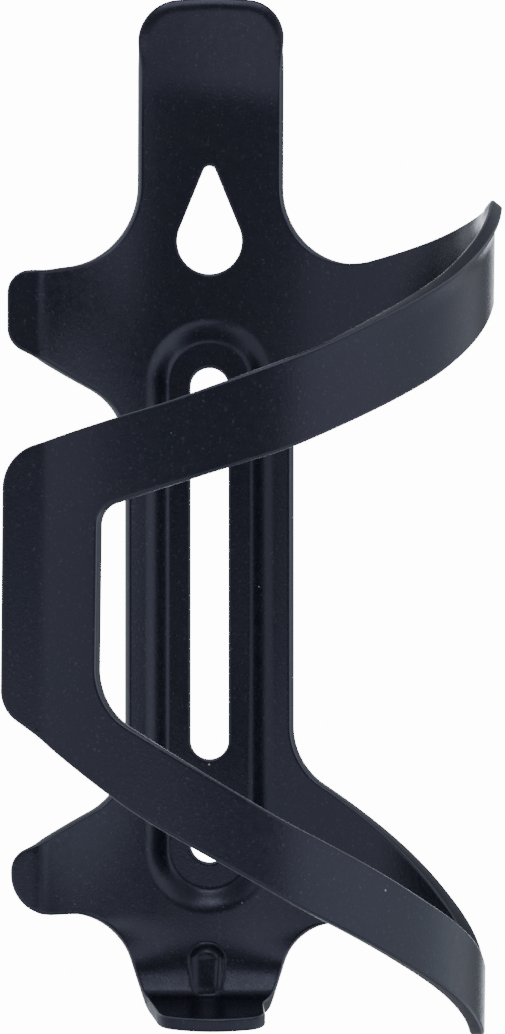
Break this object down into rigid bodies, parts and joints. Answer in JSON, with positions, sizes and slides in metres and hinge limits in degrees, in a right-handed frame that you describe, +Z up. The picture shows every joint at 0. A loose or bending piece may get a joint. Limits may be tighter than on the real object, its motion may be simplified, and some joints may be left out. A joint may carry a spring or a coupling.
{
  "type": "water bottle cage",
  "caption": "Side-entry bicycle bottle cage in satin black sheet aluminium: slotted mounting spine, top tab, foot, and two arms that wrap one side to a front bar.",
  "frame": {"origin": "on the back face of the mounting pad, midway between the two fixing slots", "axes": "+Z up along the bottle, +Y backwards into the bicycle frame, +X towards the side that the arms wrap"},
  "size_m": [0.0692, 0.0791, 0.1468],
  "materials": {
    "black_coating": "satin"
  },
  "bodies": {
    "root": {"cage": "black_coating"}
  },
  "joints": []
}
